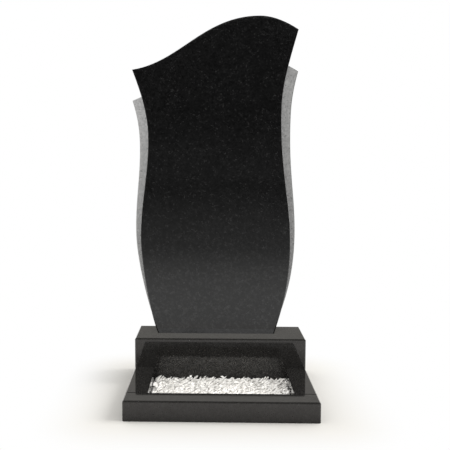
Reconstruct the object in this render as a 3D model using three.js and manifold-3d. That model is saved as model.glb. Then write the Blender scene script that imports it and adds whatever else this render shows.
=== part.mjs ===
// A granite grave monument: two shaped slabs stand one behind the other on a plinth, with a kerbed
// gravel bed in front. Sizes are in millimetres, with X to the right, Y away from the viewer and Z up.
// The origin is at the middle of the plinth's underside.

import * as THREE from 'three';
import { ConvexGeometry } from 'three/addons/geometries/ConvexGeometry.js';
import { mergeVertices } from 'three/addons/utils/BufferGeometryUtils.js';
import Module from 'manifold-3d';

const wasm = await Module();
wasm.setup();

// Plinth
const PLINTH_WIDTH = 600;
const PLINTH_DEPTH = 200;
const PLINTH_HEIGHT = 167;

// Kerb, as wide as the plinth
const KERB_REACH = 365; // from the plinth's front face to the kerb's front face
const KERB_FRONT_WIDTH = 83;
const KERB_SIDE_WIDTH = 70;
const KERB_HEIGHT = 64;

// Edges and joints
const BLOCK_CHAMFER = 4;
const SLAB_CHAMFER = 3;
const JOINT_GAP = 0.3;

// Slabs on the plinth
const FRONT_SLAB_THICKNESS = 50;
const BACK_SLAB_THICKNESS = 50;
const FRONT_LEDGE = 80; // bare plinth in front of the slabs
const SLAB_SHIFT = 17; // from the plinth's middle to the slabs' centreline, to the left

// Left and right edges of the front slab. Widths are measured out from the slabs' centreline and
// heights up from the foot.
const LEFT_FOOT = 207;
const LEFT_BELLY = 268;
const LEFT_BELLY_HEIGHT = 345;
const LEFT_WAIST = 240;
const LEFT_WAIST_HEIGHT = 699;
const LEFT_CORNER = 296;
const LEFT_CORNER_HEIGHT = 943;
const RIGHT_FOOT = 213;
const RIGHT_BELLY = 267;
const RIGHT_BELLY_HEIGHT = 312;
const RIGHT_WAIST = 231;
const RIGHT_WAIST_HEIGHT = 781;
const RIGHT_CORNER = 288;
const RIGHT_CORNER_HEIGHT = 1079;

// Each station has an outward lean. The edge between two stations keeps their leans for the shares
// of the height between them that are given as above and below.
const LEFT_EDGE = [
  { out: LEFT_FOOT, height: 0, lean: 0.49, above: 0.13 },
  { out: LEFT_BELLY, height: LEFT_BELLY_HEIGHT, lean: 0, below: 0.3, above: 0.36 },
  { out: LEFT_WAIST, height: LEFT_WAIST_HEIGHT, lean: 0, below: 0.36, above: 0.36 },
  { out: LEFT_CORNER, height: LEFT_CORNER_HEIGHT, lean: 0.38, below: 0.33 },
];
const RIGHT_EDGE = [
  { out: RIGHT_FOOT, height: 0, lean: 0.3, above: 0.25 },
  { out: RIGHT_BELLY, height: RIGHT_BELLY_HEIGHT, lean: 0, below: 0.45, above: 0.36 },
  { out: RIGHT_WAIST, height: RIGHT_WAIST_HEIGHT, lean: 0, below: 0.45, above: 0.3 },
  { out: RIGHT_CORNER, height: RIGHT_CORNER_HEIGHT, lean: 0.29, below: 0.5 },
];

// The wave along the top rises from the left corner to a crest and falls to the right corner. Each
// slope holds for a share of the run beside it.
const CREST_OUT = 152;
const CREST_HEIGHT = 1127;
const WAVE_START_SLOPE = 0.15;
const WAVE_START_SHARE = 0.38;
const WAVE_CREST_SHARE = 0.44;
const FALL_SLOPE = -0.65;
const FALL_CREST_SHARE = 0.35;
const FALL_END_SHARE = 0.3;

// The back slab shows past the front one by a margin that grows from nothing at the foot.
const BACK_MARGIN = 42;
const BACK_MARGIN_HEIGHT = 900; // where the margin has its full size
const BACK_MARGIN_GROWTH = 0.7;
const BACK_DROP_LEFT = 104; // from a front corner down to the back corner beside it
const BACK_DROP_RIGHT = 138;
const BACK_WAVE_START_SLOPE = 0.4;

// Gravel
const GRAVEL_LEVEL = 30;
const CHIP_SIZE = 34;
const CHIP_SPACING = 27;
const CHIP_RISE = 10; // the tallest chips stand this far above the level

// Outline detail
const EDGE_STEPS = 9; // straight pieces between two stations
const WAVE_STEPS = 24;
const FALL_STEPS = 8;

const granite = (colour, roughness) =>
  new THREE.MeshStandardMaterial({ color: colour, roughness, metalness: 0 });
const blackGranite = () => granite(0x1b1b1c, 0.1);
const greyGranite = () => granite(0xa5a5a3, 0.6);
const whiteMarble = () => granite(0xe6e4dc, 0.85);

// Solids

// The same triangles, with one vertex for all that meet in a point.
function mergedCorners(geometry) {
  const bare = geometry.clone();
  bare.deleteAttribute('normal');
  bare.deleteAttribute('uv');
  return mergeVertices(bare, 1e-4);
}

function solidFrom(geometry) {
  const merged = mergedCorners(geometry);
  return new wasm.Manifold(
    new wasm.Mesh({
      numProp: 3,
      vertProperties: Float32Array.from(merged.attributes.position.array),
      triVerts: Uint32Array.from(merged.index.array),
    }),
  );
}

function geometryFrom(solid) {
  const { vertProperties, triVerts } = solid.getMesh();
  const geometry = new THREE.BufferGeometry();
  geometry.setAttribute('position', new THREE.BufferAttribute(vertProperties, 3));
  geometry.setIndex(new THREE.BufferAttribute(triVerts, 1));
  geometry.computeVertexNormals();
  return geometry;
}

function boxSolid(width, depth, height, bottom = 0) {
  const geometry = new THREE.BoxGeometry(width, depth, height);
  geometry.translate(0, 0, bottom + height / 2);
  return solidFrom(geometry);
}

// A prism along Z from 0 to its length, with a chamfer round both ends.
function chamferedPrism(shape, length, chamfer) {
  const geometry = new THREE.ExtrudeGeometry(shape, {
    depth: length - 2 * chamfer,
    bevelEnabled: true,
    bevelThickness: chamfer,
    bevelSize: chamfer,
    bevelOffset: -chamfer,
    bevelSegments: 1,
    curveSegments: 1,
  });
  geometry.translate(0, 0, chamfer);
  return geometry;
}

// Blocks

function cutCornerRectangle(width, depth, cut) {
  const x = width / 2;
  const y = depth / 2;
  return new THREE.Shape([
    new THREE.Vector2(-x + cut, -y),
    new THREE.Vector2(x - cut, -y),
    new THREE.Vector2(x, -y + cut),
    new THREE.Vector2(x, y - cut),
    new THREE.Vector2(x - cut, y),
    new THREE.Vector2(-x + cut, y),
    new THREE.Vector2(-x, y - cut),
    new THREE.Vector2(-x, -y + cut),
  ]);
}

// A block on the ground, chamfered on its upright and top edges and square below.
function groundBlock(width, depth, height) {
  const shape = cutCornerRectangle(width, depth, BLOCK_CHAMFER);
  const geometry = chamferedPrism(shape, height + BLOCK_CHAMFER, BLOCK_CHAMFER);
  geometry.translate(0, 0, -BLOCK_CHAMFER);
  const footCut = boxSolid(2 * width, 2 * depth, height, -height);
  return geometryFrom(solidFrom(geometry).subtract(footCut));
}

// A bar along Y from 0 to its length, chamfered on its two long top edges, with square ends.
function sideBar(width, length, height) {
  const x = width / 2;
  const cut = BLOCK_CHAMFER;
  const section = new THREE.Shape([
    new THREE.Vector2(-x, 0),
    new THREE.Vector2(x, 0),
    new THREE.Vector2(x, height - cut),
    new THREE.Vector2(x - cut, height),
    new THREE.Vector2(-x + cut, height),
    new THREE.Vector2(-x, height - cut),
  ]);
  const geometry = new THREE.ExtrudeGeometry(section, { depth: length, bevelEnabled: false });
  geometry.rotateX(Math.PI / 2);
  geometry.translate(0, length, 0);
  return geometry;
}

// Slab outlines

function edgeCurve(lower, upper) {
  const span = upper.height - lower.height;
  const lowerPull = lower.above * span;
  const upperPull = upper.below * span;
  return new THREE.CubicBezierCurve(
    new THREE.Vector2(lower.out, lower.height),
    new THREE.Vector2(lower.out + lower.lean * lowerPull, lower.height + lowerPull),
    new THREE.Vector2(upper.out - upper.lean * upperPull, upper.height - upperPull),
    new THREE.Vector2(upper.out, upper.height),
  );
}

// Points up one edge, from the foot to the corner, as distances out from the centreline.
function edgePoints(stations) {
  const points = [new THREE.Vector2(stations[0].out, stations[0].height)];
  for (let i = 1; i < stations.length; i += 1) {
    points.push(...edgeCurve(stations[i - 1], stations[i]).getPoints(EDGE_STEPS).slice(1));
  }
  return points;
}

// The wave between two corners, from left to right.
function topPoints(left, crest, right, startSlope) {
  const run = crest.x - left.x;
  const fall = right.x - crest.x;
  const startRun = WAVE_START_SHARE * run;
  const endRun = FALL_END_SHARE * fall;
  const rise = new THREE.CubicBezierCurve(
    left,
    new THREE.Vector2(left.x + startRun, left.y + startSlope * startRun),
    new THREE.Vector2(crest.x - WAVE_CREST_SHARE * run, crest.y),
    crest,
  );
  const descent = new THREE.CubicBezierCurve(
    crest,
    new THREE.Vector2(crest.x + FALL_CREST_SHARE * fall, crest.y),
    new THREE.Vector2(right.x - endRun, right.y - FALL_SLOPE * endRun),
    right,
  );
  return [...rise.getPoints(WAVE_STEPS), ...descent.getPoints(FALL_STEPS).slice(1)];
}

// A closed outline from the points up both edges. It runs on below the foot, where the slab is cut off.
function slabOutline(leftPoints, rightPoints, crest, startSlope) {
  const mirrored = leftPoints.map((point) => new THREE.Vector2(-point.x, point.y));
  const top = topPoints(mirrored.at(-1), crest, rightPoints.at(-1), startSlope);
  const below = -2 * SLAB_CHAMFER;
  return new THREE.Shape([
    new THREE.Vector2(mirrored[0].x, below),
    new THREE.Vector2(rightPoints[0].x, below),
    ...rightPoints,
    ...top.slice(1, -1).reverse(),
    ...mirrored.reverse(),
  ]);
}

function frontSlabOutline() {
  const crest = new THREE.Vector2(CREST_OUT, CREST_HEIGHT);
  return slabOutline(edgePoints(LEFT_EDGE), edgePoints(RIGHT_EDGE), crest, WAVE_START_SLOPE);
}

// The part of an edge below a height, ending on that height.
function edgeUpTo(points, height) {
  const kept = points.filter((point) => point.y < height);
  const below = kept.at(-1);
  const above = points[kept.length];
  const share = (height - below.y) / (above.y - below.y);
  return [...kept, below.clone().lerp(above, share)];
}

function backEdge(stations, drop) {
  const corner = stations.at(-1).height - drop;
  return edgeUpTo(edgePoints(stations), corner).map((point) => {
    const margin = BACK_MARGIN * (point.y / BACK_MARGIN_HEIGHT) ** BACK_MARGIN_GROWTH;
    return new THREE.Vector2(point.x + margin, point.y);
  });
}

function backSlabOutline() {
  const left = backEdge(LEFT_EDGE, BACK_DROP_LEFT);
  const right = backEdge(RIGHT_EDGE, BACK_DROP_RIGHT);
  const crest = new THREE.Vector2(CREST_OUT, CREST_HEIGHT - BACK_DROP_RIGHT);
  return slabOutline(left, right, crest, BACK_WAVE_START_SLOPE);
}

// A slab that stands on Z 0 with its back on Y 0, chamfered round its faces and square at the foot.
function slab(outline, thickness) {
  const geometry = chamferedPrism(outline, thickness, SLAB_CHAMFER);
  geometry.rotateX(Math.PI / 2);
  const reach = 2 * PLINTH_WIDTH;
  const footCut = boxSolid(reach, reach, CREST_HEIGHT, -CREST_HEIGHT);
  return geometryFrom(solidFrom(geometry).subtract(footCut));
}

// Gravel

// A repeatable value from 0 to 1 for each chip and each of its properties.
function chance(index, salt) {
  const value = Math.sin(index * 12.9898 + salt * 78.233) * 43758.5453;
  return value - Math.floor(value);
}

// A flattened, turned stone whose top stands above the gravel's level. Below, it runs straight down
// into the bed, so that no gap opens under it.
function chip(index, x, y) {
  const geometry = new THREE.OctahedronGeometry(CHIP_SIZE / 2);
  geometry.scale(1.1 - 0.3 * chance(index, 1), 0.9 - 0.2 * chance(index, 2), 0.7);
  geometry.rotateX(0.7 * (chance(index, 3) - 0.5));
  geometry.rotateY(0.7 * (chance(index, 4) - 0.5));
  geometry.rotateZ(2 * Math.PI * chance(index, 5));
  geometry.computeBoundingBox();
  const top = GRAVEL_LEVEL + CHIP_RISE * (0.45 + 0.55 * chance(index, 6));
  geometry.translate(x, y, top - geometry.boundingBox.max.z);
  const { position } = mergedCorners(geometry).attributes;
  const corners = [];
  for (let i = 0; i < position.count; i += 1) {
    const corner = new THREE.Vector3().fromBufferAttribute(position, i);
    corners.push(corner, new THREE.Vector3(corner.x, corner.y, GRAVEL_LEVEL / 4));
  }
  return solidFrom(new ConvexGeometry(corners));
}

// A bed that stands on Z 0, centred on its own width and depth, with stones all over its top.
function gravelBed(width, depth) {
  const columns = Math.ceil(width / CHIP_SPACING);
  const rows = Math.ceil(depth / CHIP_SPACING);
  const pieces = [boxSolid(width, depth, GRAVEL_LEVEL)];
  for (let row = 0; row < rows; row += 1) {
    for (let column = 0; column < columns; column += 1) {
      const index = row * columns + column;
      const shiftX = chance(index, 7) - 0.5;
      const shiftY = chance(index, 8) - 0.5;
      const x = ((column + 0.5 + 0.5 * shiftX) / columns - 0.5) * width;
      const y = ((row + 0.5 + 0.5 * shiftY) / rows - 0.5) * depth;
      pieces.push(chip(index, x, y));
    }
  }
  const whole = pieces.reduce((sum, piece) => sum.add(piece));
  return geometryFrom(whole.intersect(boxSolid(width, depth, KERB_HEIGHT)));
}

// Assembly

const monument = new THREE.Group();

function place(name, geometry, material, x, y, z) {
  const mesh = new THREE.Mesh(geometry, material);
  mesh.name = name;
  mesh.position.set(x, y, z);
  monument.add(mesh);
}

const plinthFront = -PLINTH_DEPTH / 2;
const kerbFront = plinthFront - KERB_REACH;
const bedFront = kerbFront + KERB_FRONT_WIDTH;
const sideBarLength = plinthFront - bedFront - 2 * JOINT_GAP;
const sideBarX = (PLINTH_WIDTH - KERB_SIDE_WIDTH) / 2;
const gravelWidth = PLINTH_WIDTH - 2 * KERB_SIDE_WIDTH - 2 * JOINT_GAP;

place(
  'plinth',
  groundBlock(PLINTH_WIDTH, PLINTH_DEPTH, PLINTH_HEIGHT),
  blackGranite(),
  0,
  0,
  0,
);
place(
  'kerb_front',
  groundBlock(PLINTH_WIDTH, KERB_FRONT_WIDTH, KERB_HEIGHT),
  blackGranite(),
  0,
  kerbFront + KERB_FRONT_WIDTH / 2,
  0,
);
for (const [name, side] of [['kerb_left', -1], ['kerb_right', 1]]) {
  const bar = sideBar(KERB_SIDE_WIDTH, sideBarLength, KERB_HEIGHT);
  place(name, bar, blackGranite(), side * sideBarX, bedFront + JOINT_GAP, 0);
}
place(
  'gravel_bed',
  gravelBed(gravelWidth, sideBarLength),
  whiteMarble(),
  0,
  bedFront + JOINT_GAP + sideBarLength / 2,
  0,
);

const frontSlabBack = plinthFront + FRONT_LEDGE + FRONT_SLAB_THICKNESS;
const backSlabBack = frontSlabBack + JOINT_GAP + BACK_SLAB_THICKNESS;
const slabFoot = PLINTH_HEIGHT + JOINT_GAP;

place(
  'front_slab',
  slab(frontSlabOutline(), FRONT_SLAB_THICKNESS),
  blackGranite(),
  -SLAB_SHIFT,
  frontSlabBack,
  slabFoot,
);
place(
  'back_slab',
  slab(backSlabOutline(), BACK_SLAB_THICKNESS),
  greyGranite(),
  -SLAB_SHIFT,
  backSlabBack,
  slabFoot,
);

export default monument;
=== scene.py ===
"""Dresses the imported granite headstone: polished black and matte grey granite, a bed of marble
chips, and a plain pale studio. Sizes are in metres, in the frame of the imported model."""

import math

import bmesh
import bpy
import numpy as np
from bpy.props import FloatProperty, FloatVectorProperty, IntProperty, PointerProperty
from bpy.types import Operator, Panel, PropertyGroup
from mathutils import Matrix, Vector


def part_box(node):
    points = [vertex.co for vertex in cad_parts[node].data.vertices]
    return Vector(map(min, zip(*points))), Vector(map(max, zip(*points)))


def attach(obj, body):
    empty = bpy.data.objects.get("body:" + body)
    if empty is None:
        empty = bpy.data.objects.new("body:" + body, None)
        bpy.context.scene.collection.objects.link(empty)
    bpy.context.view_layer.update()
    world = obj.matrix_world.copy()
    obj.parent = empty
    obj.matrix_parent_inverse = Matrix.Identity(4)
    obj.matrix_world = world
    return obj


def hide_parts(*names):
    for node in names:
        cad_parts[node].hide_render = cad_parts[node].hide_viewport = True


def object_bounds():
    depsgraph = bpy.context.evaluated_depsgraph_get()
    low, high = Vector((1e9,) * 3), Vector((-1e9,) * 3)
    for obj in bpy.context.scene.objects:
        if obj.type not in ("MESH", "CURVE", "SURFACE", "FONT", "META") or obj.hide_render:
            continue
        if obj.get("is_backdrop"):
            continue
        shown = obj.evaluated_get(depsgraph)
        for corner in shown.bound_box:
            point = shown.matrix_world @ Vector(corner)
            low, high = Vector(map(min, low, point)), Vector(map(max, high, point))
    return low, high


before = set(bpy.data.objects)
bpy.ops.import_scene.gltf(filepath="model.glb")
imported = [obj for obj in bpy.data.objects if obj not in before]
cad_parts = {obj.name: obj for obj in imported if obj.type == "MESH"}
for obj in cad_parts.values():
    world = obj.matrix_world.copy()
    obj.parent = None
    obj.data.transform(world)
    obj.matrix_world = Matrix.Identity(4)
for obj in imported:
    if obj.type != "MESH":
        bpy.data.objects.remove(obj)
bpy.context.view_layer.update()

bl_info = {
    "name": "Granite Headstone",
    "version": (1, 0, 0),
    "blender": (4, 5, 0),
    "location": "3D View > Sidebar > Headstone",
    "description": "Builds the stones, the gravel and the studio of a headstone with a kerbed bed",
    "category": "Object",
}

ROOT = "root"
STONES = (
    "plinth_stone",
    "kerb_front_bar",
    "kerb_left_bar",
    "kerb_right_bar",
    "marble_gravel",
    "front_slab_stone",
    "back_slab_stone",
)

# Outline of the slabs. Widths are measured out from the slabs' centreline, and heights up from the
# foot. Lean is the run out for each unit of rise, and above and below say how far a curve keeps it.
SLAB_CENTRE = -0.017
LEFT_EDGE = (
    {"out": 0.207, "height": 0.0, "lean": 0.49, "above": 0.13},
    {"out": 0.268, "height": 0.345, "lean": 0.0, "below": 0.3, "above": 0.36},
    {"out": 0.240, "height": 0.699, "lean": 0.0, "below": 0.36, "above": 0.36},
    {"out": 0.296, "height": 0.943, "lean": 0.38, "below": 0.33},
)
RIGHT_EDGE = (
    {"out": 0.213, "height": 0.0, "lean": 0.3, "above": 0.25},
    {"out": 0.267, "height": 0.312, "lean": 0.0, "below": 0.45, "above": 0.36},
    {"out": 0.231, "height": 0.781, "lean": 0.0, "below": 0.45, "above": 0.3},
    {"out": 0.288, "height": 1.079, "lean": 0.29, "below": 0.5},
)
CREST = (0.152, 1.127)
WAVE_START_SLOPE = 0.15
WAVE_START_SHARE = 0.38
WAVE_CREST_SHARE = 0.44
FALL_SLOPE = -0.65
FALL_CREST_SHARE = 0.35
FALL_END_SHARE = 0.3
BACK_MARGIN = 0.042
BACK_MARGIN_HEIGHT = 0.9
BACK_MARGIN_GROWTH = 0.7
BACK_DROP_LEFT = 0.104
BACK_DROP_RIGHT = 0.138
BACK_WAVE_START_SLOPE = 0.4
EDGE_STEPS = 44
WAVE_STEPS = 64
FALL_STEPS = 28

# Camera, as fitted to the reference view
CAMERA_PLACE = (-0.0273, -2.5588, 0.7748)
CAMERA_YAW = -0.031
CAMERA_PITCH = 0.084
CAMERA_LENS = 56.97
CAMERA_SENSOR = 36.0
CAMERA_SHIFT = 0.0764


# Node trees


class Signal:
    """One output of a shader node. Arithmetic on it adds Math nodes to the same tree."""

    def __init__(self, tree, socket):
        self.tree = tree
        self.socket = socket

    def combine(self, operation, first, second):
        return self.tree.node("ShaderNodeMath", {"operation": operation}, {0: first, 1: second})

    def __add__(self, other):
        return self.combine("ADD", self, other)

    def __radd__(self, other):
        return self.combine("ADD", other, self)

    def __rsub__(self, other):
        return self.combine("SUBTRACT", other, self)

    def __mul__(self, other):
        return self.combine("MULTIPLY", self, other)

    def __rmul__(self, other):
        return self.combine("MULTIPLY", other, self)

    def __truediv__(self, other):
        return self.combine("DIVIDE", self, other)

    def __rtruediv__(self, other):
        return self.combine("DIVIDE", other, self)

    def __pow__(self, other):
        return self.combine("POWER", self, other)


class NodeTree:
    """The shader nodes of one material or world."""

    def __init__(self, owner):
        owner.use_nodes = True
        self.tree = owner.node_tree
        self.tree.nodes.clear()

    def node(self, kind, settings=None, sockets=None, output=0):
        """Adds a node, its settings first, then the values or links of its sockets."""
        node = self.tree.nodes.new(kind)
        for name, value in (settings or {}).items():
            setattr(node, name, value)
        for name, value in (sockets or {}).items():
            if isinstance(value, Signal):
                self.tree.links.new(value.socket, node.inputs[name])
            else:
                node.inputs[name].default_value = value
        return Signal(self, node.outputs[output]) if node.outputs else None

    def mix(self, share, first, second):
        """Colour that goes from the first to the second with the share."""
        colours = [x if isinstance(x, Signal) else (*x, 1.0) for x in (first, second)]
        sockets = {0: share, 6: colours[0], 7: colours[1]}
        return self.node("ShaderNodeMix", {"data_type": "RGBA"}, sockets, output=2)

    def ease(self, value, start, end, low=0.0, high=1.0):
        """Smooth step from low to high while a value goes from start to end."""
        settings = {"interpolation_type": "SMOOTHSTEP"}
        sockets = {
            "Value": value,
            "From Min": start,
            "From Max": end,
            "To Min": low,
            "To Max": high,
        }
        return self.node("ShaderNodeMapRange", settings, sockets)

    def vector(self, operation, first, second=(0, 0, 0)):
        """Vector that an operation makes of one or two vectors, part by part."""
        settings = {"operation": operation}
        return self.node("ShaderNodeVectorMath", settings, {0: first, 1: second})

    def length(self, vector):
        """Length of a vector, as a number."""
        settings = {"operation": "LENGTH"}
        return self.node("ShaderNodeVectorMath", settings, {0: vector}, output="Value")

    def noise(self, place, size, detail=3.0, roughness=0.5):
        """Cloudy value round 0.5 whose features have about the given size."""
        sockets = {"Vector": place, "Scale": 1 / size, "Detail": detail, "Roughness": roughness}
        return self.node("ShaderNodeTexNoise", None, sockets)

    def grains(self, place, size):
        """Random value from 0 to 1 for each crystal of about the given size."""
        sockets = {"Vector": place, "Scale": 1 / size}
        colour = self.node("ShaderNodeTexVoronoi", None, sockets, output="Color")
        return self.node("ShaderNodeSeparateColor", None, {"Color": colour}, output="Red")

    def part(self, vector, axis):
        """X, Y or Z of a vector."""
        return self.node("ShaderNodeSeparateXYZ", None, {"Vector": vector}, output=axis)

    def bump(self, height, strength, distance):
        """Normal of a surface with fine relief."""
        sockets = {"Strength": strength, "Distance": distance, "Height": height}
        return self.node("ShaderNodeBump", None, sockets)

    def close(self, colour, roughness, normal, **more):
        """Ends a material in one surface shader."""
        sockets = {"Base Color": colour, "Roughness": roughness, "Normal": normal, **more}
        surface = self.node("ShaderNodeBsdfPrincipled", None, sockets)
        self.node("ShaderNodeOutputMaterial", None, {"Surface": surface})


def new_material(name):
    """The empty node tree of a new material."""
    return NodeTree(bpy.data.materials.new(name))


def finish(name):
    """A material that was made before."""
    return bpy.data.materials[name]


def shade(colour, factor):
    """A colour made darker or lighter by a factor."""
    return tuple(factor * channel for channel in colour)


# Usual size of the crystals, clouds and pits in each stone
BLACK_CRYSTAL = 0.003
BLACK_GLINT = 0.0052
BLACK_WISP = 0.012
BLACK_CLOUD = 0.05
BLACK_SMEAR = 0.12
BLACK_PIT = 0.0016
GREY_COARSE = 0.006
GREY_FINE = 0.0028
GREY_CLOUD = 0.014
GREY_GRIT = 0.0012
MARBLE_CLOUD = 0.007
MARBLE_SUGAR = 0.0011

# Tones of the grains, as factors on the stone's body colour or as colours
BLACK_MEAN = 1.25
BLACK_SPREAD = 0.75
GREY_LIGHT = 1.22
GREY_QUARTZ = 0.72
GREY_MICA = (0.1, 0.1, 0.1)
MARBLE_DULL = 0.68
MARBLE_VEIN = (0.55, 0.55, 0.54)

# How strongly the crystals of the dark slab and of the dark base stand out
SLAB_CONTRAST = 1.6
BASE_CONTRAST = 0.5


def black_granite(name, body, contrast):
    """Polished, nearly black gabbro: fine crystals in faint wisps, a few of them light."""
    look = bpy.context.scene.headstone_finish
    tree = new_material(name)
    place = tree.node("ShaderNodeTexCoord", output="Object")
    crystal = tree.grains(place, BLACK_CRYSTAL)
    glint = tree.grains(place, BLACK_GLINT)
    wisp = tree.noise(place, BLACK_WISP, 3.0, 0.65)
    cloud = tree.noise(place, BLACK_CLOUD)
    dark = shade(body, BLACK_MEAN - BLACK_SPREAD * contrast)
    pale = shade(body, BLACK_MEAN + BLACK_SPREAD * contrast)
    colour = tree.mix(0.65 * crystal + 0.35 * tree.ease(wisp, 0.32, 0.68), dark, pale)
    colour = tree.mix(tree.ease(cloud, 0.35, 0.7) * 0.35, colour, dark)
    fleck = tree.ease(crystal, 0.9, 0.93) * tree.ease(wisp, 0.42, 0.62)
    colour = tree.mix(fleck, colour, tuple(look.black_granite_fleck))
    shine = tree.ease(0.45 * glint + wisp, 0.7, 1.05)
    smear = tree.ease(tree.noise(place, BLACK_SMEAR, 4.0), 0.4, 0.75)
    tree.close(
        colour,
        look.polish + 0.03 * smear + 0.02 * shine,
        tree.bump(tree.noise(place, BLACK_PIT, 2.0), 0.06, 0.00006),
        **{"IOR": 1.5, "Coat Weight": (0.12 + 0.13 * contrast) * shine},
    )


def grey_granite(name, body):
    """Light grey granite with a fine matte finish: white, grey and black grains."""
    tree = new_material(name)
    place = tree.node("ShaderNodeTexCoord", output="Object")
    coarse = tree.grains(place, GREY_COARSE)
    fine = tree.grains(place, GREY_FINE)
    cloud = tree.noise(place, GREY_CLOUD, 4.0, 0.6)
    quartz = shade(body, GREY_QUARTZ)
    colour = tree.mix(tree.ease(coarse, 0.2, 0.9), body, shade(body, GREY_LIGHT))
    colour = tree.mix(tree.ease(fine, 0.62, 0.8) * 0.6, colour, quartz)
    colour = tree.mix(tree.ease(fine, 0.955, 0.97), colour, GREY_MICA)
    colour = tree.mix(tree.ease(cloud, 0.35, 0.68) * 0.3, colour, quartz)
    grit = tree.noise(place, GREY_GRIT, 3.0) + 0.4 * fine
    tree.close(colour, 0.42 + 0.2 * coarse, tree.bump(grit, 0.35, 0.0002))


def marble_chips(name, body):
    """Crushed white marble: chips differ a little in tone, and have soft grey veins."""
    tree = new_material(name)
    place = tree.node("ShaderNodeTexCoord", output="Object")
    chip = tree.node("ShaderNodeNewGeometry", output="Random Per Island")
    warm = (body[0], 0.985 * body[1], 0.96 * body[2])
    colour = tree.mix(tree.ease(chip, 0.6, 1.0) * 0.9, body, shade(body, MARBLE_DULL))
    colour = tree.mix(tree.ease(chip, 0.0, 0.25, 1.0, 0.0) * 0.6, colour, warm)
    cloud = tree.noise(place, MARBLE_CLOUD, 4.0, 0.6)
    colour = tree.mix(tree.ease(cloud, 0.52, 0.72) * 0.25, colour, MARBLE_VEIN)
    sugar = tree.bump(tree.noise(place, MARBLE_SUGAR, 3.0), 0.5, 0.0003)
    tree.close(colour, 0.5 + 0.25 * cloud, sugar)


# Meshes

CROSSING_REACH = 14
CROSSING_SLACK = 1e-6
PARALLEL = 1e-15
SAME_POINT = 1e-7
SHARP_ANGLE = math.radians(40)
ARRIS_ANGLE = math.radians(30)
ARRIS_SEGMENTS = 3
CORNER_ROOM = 0.002  # the back slab's edge has no other point this close under its corner


def softened(corner, before, after, radius):
    """Points that round a corner, with a short straight on both sides that keeps the faces flat."""
    corner = np.array(corner, float)
    back = (before - corner) / np.linalg.norm(before - corner)
    ahead = (after - corner) / np.linalg.norm(after - corner)
    points = [corner + 2 * radius * back]
    for share in (0.0, 0.25, 0.5, 0.75, 1.0):
        low = corner + (1 - share) * radius * back
        high = corner + share * radius * ahead
        points.append(low + share * (high - low))
    points.append(corner + 2 * radius * ahead)
    return points


def soften(points, radius):
    """Rounds every corner of an open line."""
    points = np.array(points, float)
    result = [points[0]]
    for before, corner, after in zip(points, points[1:], points[2:]):
        result.extend(softened(corner, before, after, radius))
    result.append(points[-1])
    return np.array(result)


def moved_left(curve, distance):
    """A smooth curve moved to its left."""
    ahead = np.gradient(curve, axis=0)
    ahead /= np.linalg.norm(ahead, axis=1)[:, None]
    return curve + distance * np.stack([-ahead[:, 1], ahead[:, 0]], axis=1)


def along(curve, place):
    """Points of a curve at fractional places."""
    index = np.arange(len(curve))
    return np.stack([np.interp(place, index, curve[:, k]) for k in (0, 1)], axis=-1)


def crossing(first, second):
    """Fractional places where the end of one curve crosses the start of the next."""
    for i in range(len(first) - 2, len(first) - 2 - CROSSING_REACH, -1):
        for j in range(CROSSING_REACH):
            a, b = first[i], first[i + 1] - first[i]
            c, d = second[j], second[j + 1] - second[j]
            turn = b[0] * d[1] - b[1] * d[0]
            if abs(turn) < PARALLEL:
                continue
            gap = c - a
            t = (gap[0] * d[1] - gap[1] * d[0]) / turn
            u = (gap[0] * b[1] - gap[1] * b[0]) / turn
            if all(-CROSSING_SLACK <= share <= 1 + CROSSING_SLACK for share in (t, u)):
                return i + t, j + u
    raise ValueError("the slab's edge curves don't meet at a corner")


def ring_of(curves, inset, radius):
    """The outline of three curves moved inwards, cut where they cross and with softened corners."""
    right, top, left = (moved_left(curve, inset) for curve in curves)
    right_end, top_start = crossing(right, top)
    top_end, left_start = crossing(top, left)
    right = along(right, np.linspace(0, right_end, len(right)))
    top = along(top, np.linspace(top_start, top_end, len(top)))
    left = along(left, np.linspace(left_start, len(left) - 1, len(left)))
    ring = np.array(
        [
            *right[:-1],
            *softened(right[-1], right[-2], top[1], radius),
            *top[1:-1],
            *softened(top[-1], top[-2], left[1], radius),
            *left[1:],
        ]
    )
    for foot, above in ((0, 1), (-1, -2)):
        slope = (ring[above, 0] - ring[foot, 0]) / (ring[above, 1] - ring[foot, 1])
        ring[foot] = (ring[foot, 0] - slope * ring[foot, 1], 0.0)
    return ring


def ring_faces(rings, length):
    """Quads between open lines of equal length."""
    starts = [ring * length + step for ring in range(rings - 1) for step in range(length - 1)]
    return [(low, low + 1, low + 1 + length, low + length) for low in starts]


def box_mesh(low, high):
    """Corners and faces of a box."""
    spans = list(zip(low, high))
    corners = [(x, y, z) for z in spans[2] for x in spans[0] for y in spans[1]]
    faces = [(0, 1, 3, 2), (4, 6, 7, 5), (0, 2, 6, 4), (1, 5, 7, 3), (0, 4, 5, 1), (2, 3, 7, 6)]
    return corners, faces


def new_piece(name, vertices, faces, material, nodes, smooth=True):
    """Adds a mesh that rides on the root, stands for CAD nodes and takes a material."""
    mesh = bpy.data.meshes.new(name)
    mesh.from_pydata([tuple(vertex) for vertex in vertices], [], faces)
    shaped = bmesh.new()
    shaped.from_mesh(mesh)
    bmesh.ops.remove_doubles(shaped, verts=shaped.verts, dist=SAME_POINT)
    bmesh.ops.recalc_face_normals(shaped, faces=shaped.faces)
    shaped.to_mesh(mesh)
    shaped.free()
    mesh.materials.append(material)
    mesh.validate()
    if smooth:
        mesh.shade_smooth()
    else:
        mesh.shade_flat()
    mesh.set_sharp_from_angle(angle=SHARP_ANGLE)
    piece = bpy.data.objects.new(name, mesh)
    bpy.context.scene.collection.objects.link(piece)
    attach(piece, ROOT)
    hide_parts(*nodes)
    return piece


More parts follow.
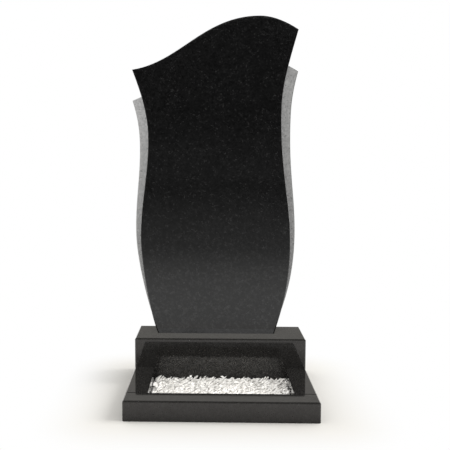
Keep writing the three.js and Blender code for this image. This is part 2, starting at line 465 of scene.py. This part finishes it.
def block(name, node, chamfered, material):
    """A block as large as its CAD node, with chamfers on the edges that a test picks."""
    sizes = bpy.context.scene.headstone_sizes
    low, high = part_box(node)
    corners, faces = box_mesh(low, high)
    piece = new_piece(name, corners, faces, material, [node])
    weights = piece.data.attributes.new("bevel_weight_edge", "FLOAT", "EDGE")
    for edge in piece.data.edges:
        ends = [Vector(corners[i]) for i in edge.vertices]
        weights.data[edge.index].value = float(chamfered(ends[1] - ends[0], ends, low))
    cut = piece.modifiers.new("chamfer", "BEVEL")
    cut.limit_method = "WEIGHT"
    cut.width = sizes.block_chamfer
    cut.offset_type = "OFFSET"
    cut.segments = 1
    arris = piece.modifiers.new("arris", "BEVEL")
    arris.limit_method = "ANGLE"
    arris.angle_limit = ARRIS_ANGLE
    arris.width = sizes.arris
    arris.segments = ARRIS_SEGMENTS
    arris.harden_normals = True


def upright_or_top(span, ends, low):
    """Picks the upright edges and the top edges of a block."""
    return abs(span.z) > 0 or ends[0].z > low.z


def long_and_top(span, ends, low):
    """Picks the top edges that run along Y."""
    return abs(span.y) > 0 and ends[0].z > low.z


def bezier(points, steps):
    """Points along a cubic curve, the first one included."""
    a, b, c, d = (np.array(point, float) for point in points)
    t = np.linspace(0.0, 1.0, steps + 1)[:, None]
    u = 1 - t
    return u**3 * a + 3 * u**2 * t * b + 3 * u * t**2 * c + t**3 * d


def edge_line(stations):
    """Points up one edge of a slab, as distances out from the centreline and heights."""
    line = [np.array([[stations[0]["out"], stations[0]["height"]]])]
    for lower, upper in zip(stations, stations[1:]):
        span = upper["height"] - lower["height"]
        low_pull = lower["above"] * span
        high_pull = upper["below"] * span
        points = (
            (lower["out"], lower["height"]),
            (lower["out"] + lower["lean"] * low_pull, lower["height"] + low_pull),
            (upper["out"] - upper["lean"] * high_pull, upper["height"] - high_pull),
            (upper["out"], upper["height"]),
        )
        line.append(bezier(points, EDGE_STEPS)[1:])
    return np.concatenate(line)


def top_line(left, crest, right, start_slope):
    """Points of the wave from the left corner over the crest to the right corner."""
    run = crest[0] - left[0]
    fall = right[0] - crest[0]
    start_run = WAVE_START_SHARE * run
    end_run = FALL_END_SHARE * fall
    rise = (
        left,
        (left[0] + start_run, left[1] + start_slope * start_run),
        (crest[0] - WAVE_CREST_SHARE * run, crest[1]),
        crest,
    )
    descent = (
        crest,
        (crest[0] + FALL_CREST_SHARE * fall, crest[1]),
        (right[0] - end_run, right[1] - FALL_SLOPE * end_run),
        right,
    )
    return np.concatenate([bezier(rise, WAVE_STEPS), bezier(descent, FALL_STEPS)[1:]])


def back_edge_line(stations, drop):
    """The front slab's edge moved out by the margin and cut off at the back slab's corner."""
    line = edge_line(stations)
    corner = stations[-1]["height"] - drop
    out = np.interp(corner, line[:, 1], line[:, 0])
    line = np.concatenate([line[line[:, 1] < corner - CORNER_ROOM], [[out, corner]]])
    line[:, 0] += BACK_MARGIN * (line[:, 1] / BACK_MARGIN_HEIGHT) ** BACK_MARGIN_GROWTH
    return line


def slab_piece(name, node, edges, crest, start_slope, material, slot):
    """A slab on its foot, with its outline chamfered round both faces. Polish doesn't mirror it."""
    sizes = bpy.context.scene.headstone_sizes
    low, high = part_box(node)
    cut = sizes.slab_chamfer
    arris = sizes.arris
    right, left = edges[1], edges[0] * (-1, 1)
    top = top_line(left[-1], crest, right[-1], start_slope)
    # Up the right edge, back along the top and down the left edge: the stone is on the left.
    curves = (right, top[::-1], left[::-1])
    depth = high.y - low.y
    profile = [(cut + 4 * arris, 0), (cut, 0), (0, cut)]
    profile += [(0, depth - cut), (cut, depth), (cut + 4 * arris, depth)]
    profile = soften(profile, arris)
    vertices = []
    for inset, back in profile:
        for out, height in ring_of(curves, inset, arris):
            vertices.append((SLAB_CENTRE + out, low.y + back, low.z + height))
    count = len(vertices)
    length = count // len(profile)
    faces = ring_faces(len(profile), length)
    faces.append(tuple(range(length)))
    faces.append(tuple(range(count - length, count)))
    first_foot = list(range(0, count, length))
    last_foot = list(range(length - 1, count, length))
    faces.append(tuple(first_foot + last_foot[::-1]))
    slab = new_piece(name, vertices, faces, material, [node])
    slab.visible_glossy = False


# Gravel

CHIP_KINDS = 40
CHIP_CORNERS = 10
CHIP_LEAST = (0.7, 0.3, 0.22)  # length, width and thickness, as shares of the usual length
CHIP_MOST = (1.4, 0.5, 0.38)
RAKED_SHARE = 0.82
RAKED_SPIN_SPREAD = 0.3
RAKED_LEAN_SPREAD = 0.22
RAKED_TILT = 0.5
RAKED_UNEVENNESS = 0.35
STEEP_SHARE = 0.4
STEEP_TILT = 0.9
FLAT_TILT = 0.35
LANDING_TRIES = 4
EDGE_ROOM = 0.6  # how much of a chip stays on the bed's side of its edge
PROUD_SHARE = 0.12
PROUD_STRIP = 0.015  # along the side bars every chip may stand proud
SPIKE_LENGTH = 1.15
SPIKE_TILT = (0.7, 1.3)
SPIKE_STRIP = 0.014  # every other standing chip is this close to the plinth
SPIKE_DROP = (0.001, 0.006)
GRID_CELL = 0.001
BED_GAP = 0.0003
NEARLY_UPRIGHT = 1e-12


def chip_shapes(random):
    """Angular stones of unit radius, as corner points and triangles."""
    shapes = []
    for _ in range(CHIP_KINDS):
        points = random.normal(size=(CHIP_CORNERS, 3))
        points /= np.linalg.norm(points, axis=1)[:, None]
        hull = bmesh.new()
        for point in points:
            hull.verts.new(point)
        bmesh.ops.convex_hull(hull, input=hull.verts)
        bmesh.ops.recalc_face_normals(hull, faces=hull.faces)
        hull.verts.index_update()
        corners = np.array([vertex.co for vertex in hull.verts])
        faces = np.array([[vertex.index for vertex in face.verts] for face in hull.faces])
        shapes.append((corners, faces))
        hull.free()
    return shapes


def turned(random, corners, length, tilt):
    """A chip of a random size and direction. Most are raked, with their right end up."""
    flat = random.uniform(CHIP_LEAST, CHIP_MOST)
    if random.random() < RAKED_SHARE:
        spin = random.normal(0, RAKED_SPIN_SPREAD)
        lean = random.normal(-math.pi / 2, RAKED_LEAN_SPREAD)
        tilt = RAKED_TILT + RAKED_UNEVENNESS * abs(tilt)
    else:
        spin = random.uniform(0, 2 * math.pi)
        lean = random.uniform(0, 2 * math.pi)
    lie = Vector((math.cos(lean), math.sin(lean), 0))
    matrix = np.array(Matrix.Rotation(tilt, 3, lie) @ Matrix.Rotation(spin, 3, "Z"))
    return (corners * flat * (length / 2)) @ matrix.T


def heights(corners, faces, x, y):
    """Top and underside of a convex chip over a grid. Outside it the top is the lower one."""
    a, b, c = (corners[faces[:, k]] for k in range(3))
    normal = np.cross(b - a, c - a)
    normal[np.abs(normal[:, 2]) < NEARLY_UPRIGHT, 2] = NEARLY_UPRIGHT
    reach = (normal * a).sum(axis=1)
    level = reach[:, None, None] - normal[:, 0, None, None] * x - normal[:, 1, None, None] * y
    level = level / normal[:, 2, None, None]
    up = normal[:, 2] > 0
    return level[up].min(axis=0), level[~up].max(axis=0)


def in_bed(corners, place, low, high):
    """A chip in its place, ground flat where it would stand in the kerb or the plinth."""
    placed = corners + place
    for axis in (0, 1):
        placed[:, axis] = placed[:, axis].clip(low[axis] + BED_GAP, high[axis] - BED_GAP)
    return placed


def dropped_chips(random, shapes, low, high):
    """Chips that fall one by one onto the bed until it is full. Each settles on those below it."""
    sizes = bpy.context.scene.headstone_sizes
    grid_x = np.arange(low.x, high.x, GRID_CELL)
    grid_y = np.arange(low.y, high.y, GRID_CELL)
    level = np.full((len(grid_y), len(grid_x)), sizes.gravel_floor)
    chips = []
    for _ in range(sizes.chip_count):
        corners, triangles = shapes[random.integers(len(shapes))]
        tilt = random.normal(0, STEEP_TILT if random.random() < STEEP_SHARE else FLAT_TILT)
        corners = turned(random, corners, sizes.chip_length, tilt)
        reach = np.abs(corners[:, :2]).max(axis=0) + BED_GAP
        room = EDGE_ROOM * reach
        best = None
        for _ in range(LANDING_TRIES):
            x = random.uniform(low.x + room[0], high.x - room[0])
            y = random.uniform(low.y + room[1], high.y - room[1])
            columns = slice(*np.searchsorted(grid_x, (x - reach[0], x + reach[0])))
            rows = slice(*np.searchsorted(grid_y, (y - reach[1], y + reach[1])))
            span_x, span_y = np.meshgrid(grid_x[columns] - x, grid_y[rows] - y)
            top, under = heights(corners, triangles, span_x, span_y)
            inside = top > under
            rest = (level[rows, columns] - under)[inside].max()
            if best is None or rest < best[0]:
                best = (rest, x, y, rows, columns, top, inside)
        rest, x, y, rows, columns, top, inside = best
        rest -= sizes.chip_settling
        proud = random.random() < PROUD_SHARE or min(x - low.x, high.x - x) < PROUD_STRIP
        limit = high.z if proud else high.z - sizes.chip_tips
        if rest + corners[:, 2].max() > limit:
            continue
        patch = level[rows, columns]
        patch[inside] = np.maximum(patch, top + rest)[inside]
        chips.append((in_bed(corners, (x, y, rest), low, high), triangles))
    return chips


def standing_chips(random, shapes, low, high):
    """Chips wedged upright between the others, every other one of them near the plinth."""
    sizes = bpy.context.scene.headstone_sizes
    chips = []
    for index in range(sizes.chip_spikes):
        corners, triangles = shapes[random.integers(len(shapes))]
        length = SPIKE_LENGTH * sizes.chip_length
        corners = turned(random, corners, length, random.uniform(*SPIKE_TILT))
        depth = SPIKE_STRIP if index % 2 else high.y - low.y
        x = random.uniform(low.x, high.x)
        y = high.y - random.uniform(0, depth)
        z = high.z - random.uniform(*SPIKE_DROP) - corners[:, 2].max()
        chips.append((in_bed(corners, (x, y, z), low, high), triangles))
    return chips


def as_one(meshes):
    """Vertices and faces of many meshes, as one list each."""
    vertices = []
    faces = []
    for corners, parts in meshes:
        faces += [tuple(int(index) + len(vertices) for index in part) for part in parts]
        vertices += [tuple(corner) for corner in corners]
    return vertices, faces


# Operators


class HEADSTONE_OT_plinth(Operator):
    """Builds the polished plinth that carries the slabs"""

    bl_idname = "headstone.plinth"
    bl_label = "Plinth"

    def execute(self, context):
        stone = finish("polished_base_granite")
        block("plinth_stone", "plinth", upright_or_top, stone)
        return {"FINISHED"}


class HEADSTONE_OT_kerb(Operator):
    """Builds the three polished kerb bars round the gravel bed"""

    bl_idname = "headstone.kerb"
    bl_label = "Kerb Bars"

    def execute(self, context):
        stone = finish("polished_base_granite")
        block("kerb_front_bar", "kerb_front", upright_or_top, stone)
        block("kerb_left_bar", "kerb_left", long_and_top, stone)
        block("kerb_right_bar", "kerb_right", long_and_top, stone)
        return {"FINISHED"}


class HEADSTONE_OT_gravel(Operator):
    """Fills the bed with loose marble chips"""

    bl_idname = "headstone.gravel"
    bl_label = "Marble Gravel"

    def execute(self, context):
        sizes = context.scene.headstone_sizes
        low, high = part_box("gravel_bed")
        random = np.random.default_rng(sizes.gravel_seed)
        shapes = chip_shapes(random)
        packed = box_mesh(low, (high.x, high.y, sizes.gravel_floor))
        dropped = dropped_chips(random, shapes, low, high)
        standing = standing_chips(random, shapes, low, high)
        vertices, faces = as_one([packed, *dropped, *standing])
        marble = finish("crushed_white_marble")
        slot, nodes = "white_marble_chips", ["gravel_bed"]
        new_piece("marble_gravel", vertices, faces, marble, nodes, smooth=False)
        return {"FINISHED"}


class HEADSTONE_OT_front_slab(Operator):
    """Builds the tall polished slab with the wavy top"""

    bl_idname = "headstone.front_slab"
    bl_label = "Front Slab"

    def execute(self, context):
        edges = (edge_line(LEFT_EDGE), edge_line(RIGHT_EDGE))
        top = (CREST, WAVE_START_SLOPE)
        look = (finish("polished_black_granite"), "black_granite")
        slab_piece("front_slab_stone", "front_slab", edges, *top, *look)
        return {"FINISHED"}


class HEADSTONE_OT_back_slab(Operator):
    """Builds the wider grey slab behind the front one"""

    bl_idname = "headstone.back_slab"
    bl_label = "Back Slab"

    def execute(self, context):
        edges = (
            back_edge_line(LEFT_EDGE, BACK_DROP_LEFT),
            back_edge_line(RIGHT_EDGE, BACK_DROP_RIGHT),
        )
        top = ((CREST[0], CREST[1] - BACK_DROP_RIGHT), BACK_WAVE_START_SLOPE)
        look = (finish("matte_grey_granite"), "grey_granite")
        slab_piece("back_slab_stone", "back_slab", edges, *top, *look)
        return {"FINISHED"}


class HEADSTONE_OT_materials(Operator):
    """Makes the granite and marble finishes"""

    bl_idname = "headstone.materials"
    bl_label = "Stone Finishes"

    def execute(self, context):
        look = context.scene.headstone_finish
        black_granite("polished_black_granite", tuple(look.black_granite), SLAB_CONTRAST)
        black_granite("polished_base_granite", tuple(look.base_granite), BASE_CONTRAST)
        grey_granite("matte_grey_granite", tuple(look.grey_granite))
        marble_chips("crushed_white_marble", tuple(look.marble))
        return {"FINISHED"}


class HEADSTONE_OT_stage(Operator):
    """Sets up the pale floor, the soft light and the camera"""

    bl_idname = "headstone.stage"
    bl_label = "Studio"

    def execute(self, context):
        pale_floor()
        surroundings()
        lights()
        camera()
        context.scene.view_settings.view_transform = "Standard"
        return {"FINISHED"}


# Stage

WHITE = (1, 1, 1)
BLACK = (0, 0, 0)

# The floor, as polish mirrors it, with painted light: a painted shadow near the stones, and a
# painted pool of light round them that dims with distance and lightens again far out. Its tint is
# darker and warmer near the stones. Clearance is the distance from the stones.
FLOOR_HALF_SIZE = 40.0
FLOOR_NEAR_TINT = (0.88, 0.84, 0.81)
FLOOR_FAR_TINT = (0.96, 0.96, 0.95)
FLOOR_TINT_CLEARANCE = (0.1, 0.6)
FLOOR_UNLIT = 0.78
FLOOR_EVEN_LIGHT = 0.088
FLOOR_FADING_LIGHT = 0.47
FLOOR_PAINTED_LIGHT_POOL = {"start": 1.4, "end": 4.4, "low": 0.62, "high": 0.0}
FLOOR_HORIZON = {"start": 20.0, "end": 40.0, "low": 0.0, "high": 0.055}
FLOOR_SHADE = {"start": -0.08, "end": 0.18, "low": 0.36, "high": 1.0}

# The room, as polish mirrors it. Rise is the height over the horizon at a distance of one.
HORIZON_HAZE = {"start": -0.03, "end": 0.078, "low": 0.175, "high": 0.074}
STRIP_FOOT = (0.212, 0.222)
STRIP_TOP = (0.235, 0.242)
WALL_FOOT = (0.24, 0.29)
WALL_TOP = {"start": 0.4, "end": 0.75, "low": 1.0, "high": 0.0}
WALL_GROWTH = 1.3
WALL_TINT = (1, 0.968, 0.905)
FRONT_TO_BACK = (-0.35, 0.25)
SOFT_FRONT_TO_BACK = {"start": -0.7, "end": 0.7, "low": 0.85, "high": 1.3}

# Directions towards the far lamps, and places of the near ones
SIDE_LIGHT_FROM = (0.8, 0.0, 0.6)
BED_SIDE_LIGHT_FROM = (0.9, 0.0, 0.5)
FRONT_LIGHT_FROM = (0.0, -0.4, 0.9)
SOFT_SPREAD = math.radians(35)
FRONT_SPREAD = math.radians(18)
BED_LIGHT_PLACE = (0.0, -0.58, 0.4)
BED_LIGHT_RADIUS = 0.1
SLAB_LIGHT_PLACE = (-0.5, -0.87, 1.5)
SLAB_LIGHT_RADIUS = 0.15


def floor_material():
    """Pale and shaded round the stones, white further out, and dimmer in the polish, where it shows
    painted light: a painted shadow near the stones and a painted pool of light that dims with
    distance.
    """
    stage = bpy.context.scene.headstone_stage
    tree = new_material("pale_floor")
    place = tree.node("ShaderNodeTexCoord", output="Object")
    away = tree.length(place)
    low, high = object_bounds()
    middle = (low + high) / 2
    half_size = (high - low) / 2
    across = tree.vector("ABSOLUTE", tree.vector("SUBTRACT", place, (*middle[:2], 0)))
    beyond = tree.vector("SUBTRACT", across, (*half_size[:2], 0))
    clearance = tree.length(tree.vector("MAXIMUM", beyond, (0, 0, 0)))
    # Painted light of the mirrored floor: a pool round the stones that dims with distance, lighter
    # again far out, and a painted shadow near the stones
    fading = FLOOR_FADING_LIGHT / (1 + (away / stage.floor_fade) ** 2)
    fading = fading + tree.ease(away, **FLOOR_HORIZON) + tree.ease(away, **FLOOR_PAINTED_LIGHT_POOL)
    light = tree.ease(clearance, **FLOOR_SHADE) * (FLOOR_EVEN_LIGHT + fading)
    glossy = tree.node("ShaderNodeLightPath", output="Is Glossy Ray")
    seen = tree.node("ShaderNodeLightPath", output="Is Camera Ray")
    # In the polish the floor's tint is darker and warmer near the stones
    tint = tree.ease(clearance, *FLOOR_TINT_CLEARANCE)
    mirrored = tree.mix(tint, FLOOR_NEAR_TINT, FLOOR_FAR_TINT)
    colour = tree.mix(glossy, tuple(stage.floor_colour), mirrored)
    # In the polish the floor is painted darker, towards black, where that painted light is low
    colour = tree.mix(glossy * (1 - FLOOR_UNLIT * light), colour, BLACK)
    paint = tree.node("ShaderNodeBsdfDiffuse", None, {"Color": colour})
    glow = tree.node("ShaderNodeEmission", None, {"Color": (*WHITE, 1), "Strength": 1.0})
    share = seen * tree.ease(clearance, 0.0, stage.floor_clear)
    surface = tree.node("ShaderNodeMixShader", None, {0: share, 1: paint, 2: glow})
    tree.node("ShaderNodeOutputMaterial", None, {"Surface": surface})


def pale_floor():
    """A wide pale floor that fades to the white of the background."""
    half = FLOOR_HALF_SIZE
    mesh = bpy.data.meshes.new("floor")
    corners = [(-half, -half, 0), (half, -half, 0), (half, half, 0), (-half, half, 0)]
    mesh.from_pydata(corners, [], [(0, 1, 2, 3)])
    floor_material()
    mesh.materials.append(finish("pale_floor"))
    floor = bpy.data.objects.new("floor", mesh)
    bpy.context.scene.collection.objects.link(floor)
    floor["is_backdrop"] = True


def surroundings():
    """White for the camera, soft light for matte stone, and for polish a dim room with a haze and
    a narrow light strip in front and a wall behind."""
    stage = bpy.context.scene.headstone_stage
    world = bpy.data.worlds.new("studio")
    bpy.context.scene.world = world
    world.cycles.sampling_method = "NONE"
    tree = NodeTree(world)
    direction = tree.node("ShaderNodeTexCoord", output="Generated")
    rise = tree.part(direction, "Z")
    depth = tree.part(direction, "Y")
    strip = tree.ease(rise, *STRIP_FOOT) * tree.ease(rise, *STRIP_TOP, stage.front_strip, 0.0)
    front = tree.ease(rise, **HORIZON_HAZE) + strip
    wall = tree.ease(rise, *WALL_FOOT, stage.back_wall, WALL_GROWTH * stage.back_wall)
    behind = tree.ease(depth, *FRONT_TO_BACK)
    mirrored = front * (1 - behind) + wall * tree.ease(rise, **WALL_TOP) * behind
    soft = stage.soft_light * tree.ease(depth, **SOFT_FRONT_TO_BACK)
    glossy = tree.node("ShaderNodeLightPath", output="Is Glossy Ray")
    seen = tree.node("ShaderNodeLightPath", output="Is Camera Ray")
    unseen = soft * (1 - glossy) + mirrored * glossy
    strength = unseen * (1 - seen) + seen
    colour = tree.mix(behind * glossy, WHITE, WALL_TINT)
    shine = tree.node("ShaderNodeBackground", None, {"Color": colour, "Strength": strength})
    tree.node("ShaderNodeOutputWorld", None, {"Surface": shine})


def collection_of(label, names):
    """A collection of the named objects, for lamps to light or to be shaded by."""
    collection = bpy.data.collections.new(label)
    for name in names:
        collection.objects.link(bpy.data.objects[name])
    return collection


def lamp(name, light, lit):
    """A light that polish doesn't mirror and that lights nothing but the named objects."""
    holder = bpy.data.objects.new(name, light)
    bpy.context.scene.collection.objects.link(holder)
    holder.visible_glossy = False
    holder.light_linking.receiver_collection = collection_of(name + "_lit", lit)
    return holder


def far_lamp(name, towards, energy, spread, lit):
    """A broad distant light."""
    light = bpy.data.lights.new(name, "SUN")
    light.energy = energy
    light.angle = spread
    holder = lamp(name, light, lit)
    holder.rotation_euler = (-Vector(towards)).to_track_quat("-Z", "Y").to_euler()


def near_lamp(name, place, energy, radius, lit):
    """A soft round lamp whose light falls off with distance."""
    light = bpy.data.lights.new(name, "POINT")
    light.energy = energy
    light.shadow_soft_size = radius
    holder = lamp(name, light, lit)
    holder.location = place
    return holder


def lights():
    """Five lamps. Each lights only the floor, the gravel, the polished stones or the grey slab,
    and nothing but the grey slab itself shades it from its own lamp."""
    stage = bpy.context.scene.headstone_stage
    gravel, slab = ["marble_gravel"], ["back_slab_stone"]
    polished = [name for name in STONES if name not in gravel + slab]
    far_lamp("side_light", SIDE_LIGHT_FROM, stage.side_light, SOFT_SPREAD, ["floor"])
    far_lamp("bed_side_light", BED_SIDE_LIGHT_FROM, stage.bed_side_light, SOFT_SPREAD, gravel)
    far_lamp("front_light", FRONT_LIGHT_FROM, stage.front_light, FRONT_SPREAD, polished)
    near_lamp("bed_light", BED_LIGHT_PLACE, stage.bed_light, BED_LIGHT_RADIUS, gravel)
    light = near_lamp("slab_light", SLAB_LIGHT_PLACE, stage.slab_light, SLAB_LIGHT_RADIUS, slab)
    light.light_linking.blocker_collection = collection_of("slab_light_blockers", slab)


def camera():
    """The camera at the reference view."""
    data = bpy.data.cameras.new("camera")
    data.lens = CAMERA_LENS
    data.sensor_width = CAMERA_SENSOR
    data.shift_x = CAMERA_SHIFT
    view = bpy.data.objects.new("camera", data)
    view.location = CAMERA_PLACE
    view.rotation_euler = (math.pi / 2 - CAMERA_PITCH, 0.0, -CAMERA_YAW)
    bpy.context.scene.collection.objects.link(view)
    bpy.context.scene.camera = view


# Settings and sidebar


class HeadstoneSizes(PropertyGroup):
    block_chamfer: FloatProperty(
        name="Block chamfer", description="Width of the chamfers on plinth and kerb",
        default=0.004, min=0.001, max=0.02, unit="LENGTH",
    )
    slab_chamfer: FloatProperty(
        name="Slab chamfer", description="Width of the chamfers round the slabs' faces",
        default=0.003, min=0.001, max=0.01, unit="LENGTH",
    )
    arris: FloatProperty(
        name="Arris", description="Radius left by polishing on every edge of a chamfer",
        default=0.0007, min=0.0001, max=0.002, unit="LENGTH",
    )
    chip_length: FloatProperty(
        name="Chip length", description="Usual length of a marble chip",
        default=0.018, min=0.005, max=0.04, unit="LENGTH",
    )
    chip_settling: FloatProperty(
        name="Chip settling", description="How far a chip sinks in between those below it",
        default=0.0008, min=0.0, max=0.005, unit="LENGTH",
    )
    chip_tips: FloatProperty(
        name="Chip tips", description="How far a few chips stand out over the others",
        default=0.0074, min=0.0, max=0.01, unit="LENGTH",
    )
    chip_count: IntProperty(
        name="Chips", description="Number of chips dropped onto the bed", default=4200, min=1,
    )
    chip_spikes: IntProperty(
        name="Standing chips", description="Number of chips wedged upright between the others",
        default=26, min=0,
    )
    gravel_floor: FloatProperty(
        name="Bed floor", description="Height of the packed gravel under the loose chips",
        default=0.014, min=0.005, max=0.03, unit="LENGTH",
    )
    gravel_seed: IntProperty(name="Gravel seed", description="Picks another scatter", default=5)


class HeadstoneFinish(PropertyGroup):
    black_granite: FloatVectorProperty(
        name="Black granite", description="Body colour of the polished granite",
        default=(0.003, 0.003, 0.0031), subtype="COLOR", min=0, max=1,
    )
    base_granite: FloatVectorProperty(
        name="Base granite", description="Body colour of the plinth and the kerb",
        default=(0.013, 0.0124, 0.0116), subtype="COLOR", min=0, max=1,
    )
    black_granite_fleck: FloatVectorProperty(
        name="Flecks", description="Colour of the light crystals in the polished granite",
        default=(0.019, 0.019, 0.019), subtype="COLOR", min=0, max=1,
    )
    polish: FloatProperty(
        name="Polish", description="Roughness of the polished stone",
        default=0.035, min=0, max=1, subtype="FACTOR",
    )
    grey_granite: FloatVectorProperty(
        name="Grey granite", description="Body colour of the matte granite",
        default=(0.257, 0.257, 0.257), subtype="COLOR", min=0, max=1,
    )
    marble: FloatVectorProperty(
        name="Marble", description="Body colour of the marble chips",
        default=(0.79, 0.772, 0.738), subtype="COLOR", min=0, max=1,
    )


class HeadstoneStage(PropertyGroup):
    floor_colour: FloatVectorProperty(
        name="Floor", description="Colour of the floor",
        default=(0.81, 0.79, 0.745), subtype="COLOR", min=0, max=1,
    )
    floor_clear: FloatProperty(
        name="Floor clearing",
        description="Distance from the stones at which the floor has turned white",
        default=0.27, min=0.1, max=10, unit="LENGTH",
    )
    floor_fade: FloatProperty(
        name="Mirrored floor",
        description="Distance at which the far floor is half as light in the polish",
        default=7.2, min=0.5, max=50, unit="LENGTH",
    )
    soft_light: FloatProperty(
        name="Soft light", description="Strength of the light from all sides", default=0.88, min=0,
    )
    side_light: FloatProperty(
        name="Side light", description="Strength of the light from the right", default=1.6, min=0,
    )
    front_light: FloatProperty(
        name="Front light", description="Strength of the light on the stones", default=2.75, min=0,
    )
    bed_side_light: FloatProperty(
        name="Bed side light", description="Strength of the light from the right on the gravel",
        default=2.3, min=0,
    )
    bed_light: FloatProperty(
        name="Bed light", description="Power of the lamp in front of the bed", default=9.0, min=0,
        unit="POWER",
    )
    slab_light: FloatProperty(
        name="Slab light",
        description="Power of the lamp in front of the grey slab, at its upper left",
        default=48.0, min=0, unit="POWER",
    )
    front_strip: FloatProperty(
        name="Front strip",
        description="Lightness of a narrow light strip in front, as polish mirrors it",
        default=4.0, min=0,
    )
    back_wall: FloatProperty(
        name="Back wall", description="Lightness of the room behind, as polish mirrors it",
        default=0.27, min=0,
    )


OPERATORS = (
    HEADSTONE_OT_materials,
    HEADSTONE_OT_plinth,
    HEADSTONE_OT_kerb,
    HEADSTONE_OT_gravel,
    HEADSTONE_OT_back_slab,
    HEADSTONE_OT_front_slab,
    HEADSTONE_OT_stage,
)
SETTINGS = {
    "headstone_sizes": HeadstoneSizes,
    "headstone_finish": HeadstoneFinish,
    "headstone_stage": HeadstoneStage,
}


class HEADSTONE_PT_sidebar(Panel):
    """Lists the headstone's pieces and settings"""

    bl_idname = "HEADSTONE_PT_sidebar"
    bl_label = "Granite Headstone"
    bl_space_type = "VIEW_3D"
    bl_region_type = "UI"
    bl_category = "Headstone"

    def draw(self, context):
        for operator in OPERATORS:
            self.layout.operator(operator.bl_idname)
        for name, group in SETTINGS.items():
            box = self.layout.box()
            for setting in group.__annotations__:
                box.prop(getattr(context.scene, name), setting)


CLASSES = (*SETTINGS.values(), *OPERATORS, HEADSTONE_PT_sidebar)


def register():
    for cls in CLASSES:
        bpy.utils.register_class(cls)
    for name, group in SETTINGS.items():
        setattr(bpy.types.Scene, name, PointerProperty(type=group))


def unregister():
    for name in SETTINGS:
        delattr(bpy.types.Scene, name)
    for cls in reversed(CLASSES):
        bpy.utils.unregister_class(cls)


def main():
    register()
    for operator in OPERATORS:
        group, name = operator.bl_idname.split(".")
        getattr(getattr(bpy.ops, group), name)()


if __name__ == "__main__":
    main()
